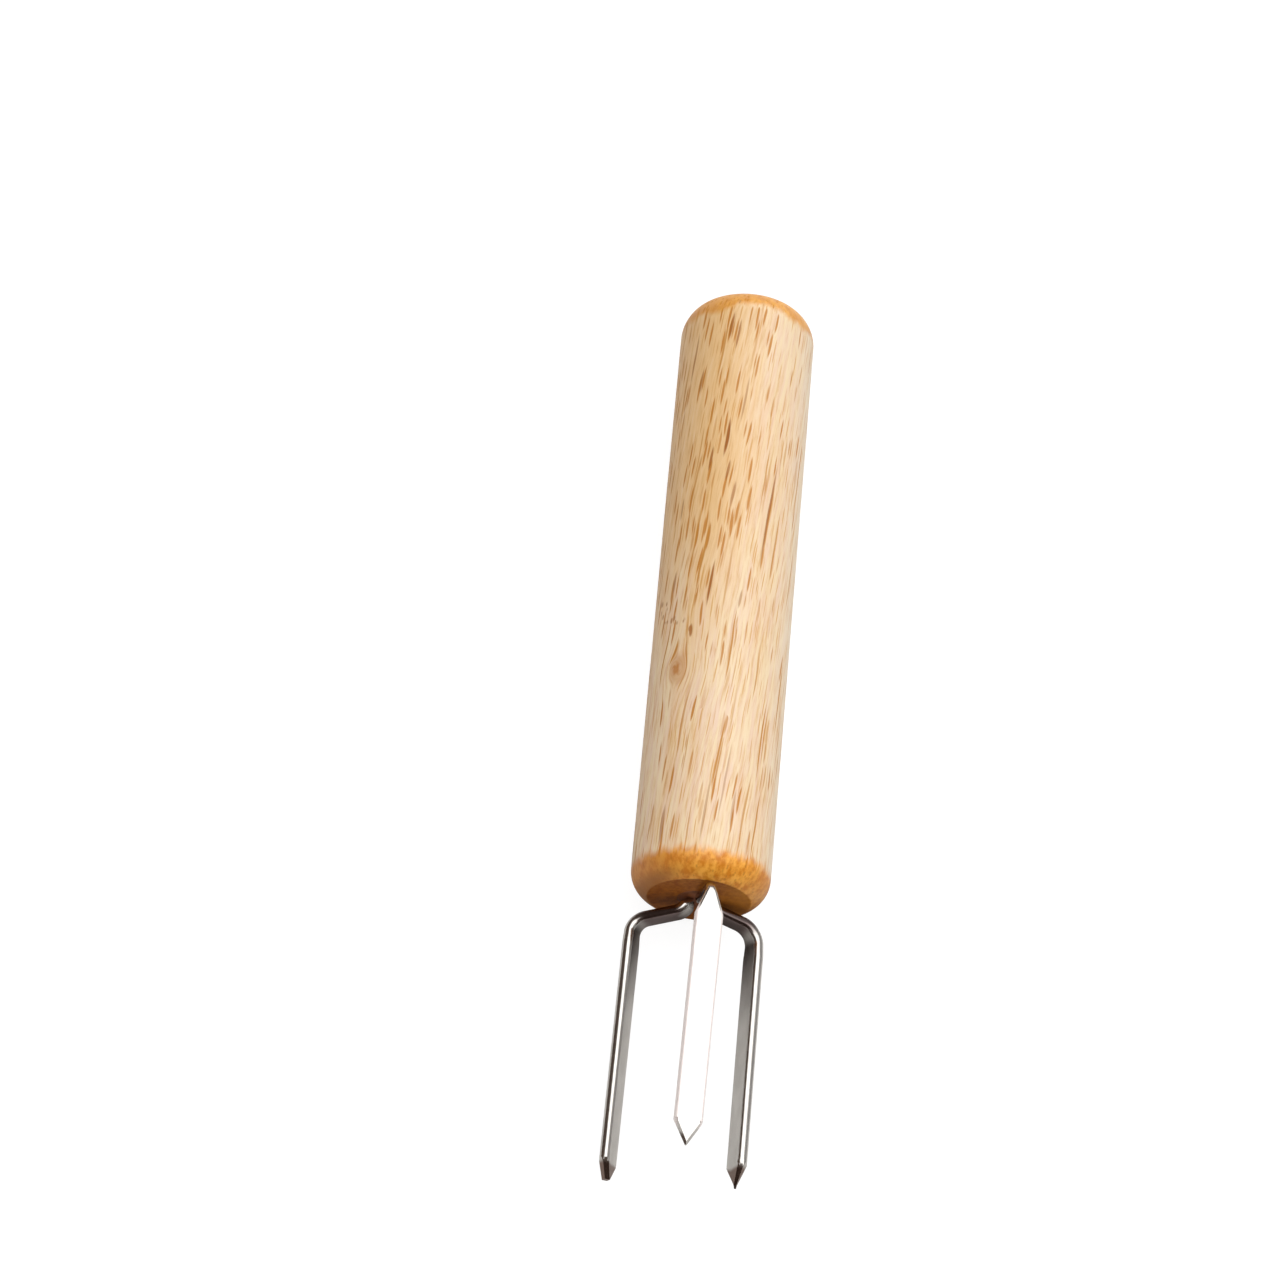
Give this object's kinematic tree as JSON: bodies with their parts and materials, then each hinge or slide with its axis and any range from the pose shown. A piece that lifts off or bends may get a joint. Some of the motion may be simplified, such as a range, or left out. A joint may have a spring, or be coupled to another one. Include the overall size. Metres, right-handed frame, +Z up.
{
  "type": "uncapping fork",
  "caption": "Hand fork with a turned, round-ended hardwood handle and polished flat-wire tines that leave one central bore, bend forward side by side and end in ground points.",
  "frame": {"origin": "centre of the bottom of the bounding box, on the surface that the handle lies on", "axes": "+Y runs along the handle from the tines to the butt, +Z is up, and the top tine is above the handle's axis"},
  "size_m": [0.0205, 0.1379, 0.0204],
  "materials": {
    "hardwood": "pale open-pored hardwood under a thin satin lacquer, end grain stained amber",
    "steel": "stainless flat wire, polished",
    "adhesive": "cured dark amber epoxy"
  },
  "bodies": {
    "root": {"wooden_handle": "hardwood", "top_tine": "steel", "left_tine": "steel", "right_tine": "steel", "glue_plug": "adhesive"}
  },
  "joints": []
}
